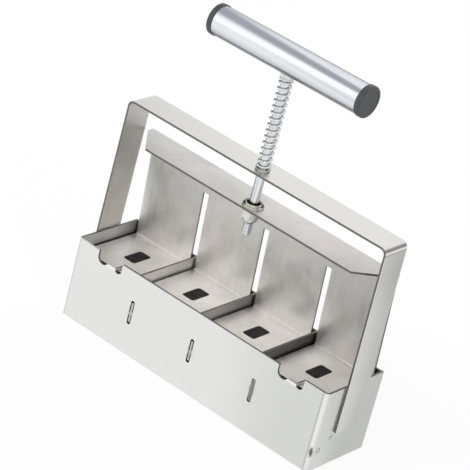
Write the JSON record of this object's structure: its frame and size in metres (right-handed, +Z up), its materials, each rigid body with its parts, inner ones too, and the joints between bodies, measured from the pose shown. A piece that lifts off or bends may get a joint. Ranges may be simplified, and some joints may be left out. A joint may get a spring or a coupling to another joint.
{
  "type": "hand soil blocker with a single row of four cells",
  "caption": "Sheet-metal hand soil blocker: a row of square cells under a strap bail, with a spring-loaded press sheet on a rod and a tubular cross grip with plastic caps",
  "frame": {"origin": "centre of the open base rim, on the plane that the box stands on", "axes": "+Z up along the plunger rod, +X along the row of cells, -Y towards the front wall with the two stop tabs"},
  "size_m": [0.2162, 0.057, 0.2393],
  "materials": {
    "stainless_wall": "satin cold-rolled sheet",
    "stainless_strap": "satin strip",
    "stainless_press": "mottled satin sheet with a vertical grain",
    "plated_steel": "dull nickel plating",
    "zinc_rod": "bright drawn and zinc plated",
    "spring_wire": "bright drawn wire",
    "polished_tube": "polished tube",
    "black_plastic": "moulded, fine texture",
    "cap_plastic": "moulded dark grey"
  },
  "bodies": {
    "mould": {"mould_wrap": "stainless_wall", "rear_wall": "stainless_wall", "divider_left": "stainless_wall", "divider_middle": "stainless_wall", "divider_right": "stainless_wall", "bail_handle": "stainless_strap", "bail_bush": "plated_steel", "return_spring": "spring_wire"},
    "plunger": {"press_sheet": "stainless_press", "upper_collar": "plated_steel", "flat_washer": "plated_steel", "lock_nut": "plated_steel", "plunger_rod": "zinc_rod", "rod_collar": "plated_steel", "grip_tube": "polished_tube", "grip_cap_left": "cap_plastic", "grip_cap_right": "cap_plastic", "seed_peg_1": "black_plastic", "seed_peg_2": "black_plastic", "seed_peg_3": "black_plastic", "seed_peg_4": "black_plastic"}
  },
  "joints": [
    {"name": "plunger_slide", "type": "slide", "parent": "mould", "child": "plunger", "axis": [0, 0, -1], "range_m": [0, 0.044], "stiffness_N_per_m": 400, "springref_m": -0.02, "deforming": ["return_spring"]}
  ]
}
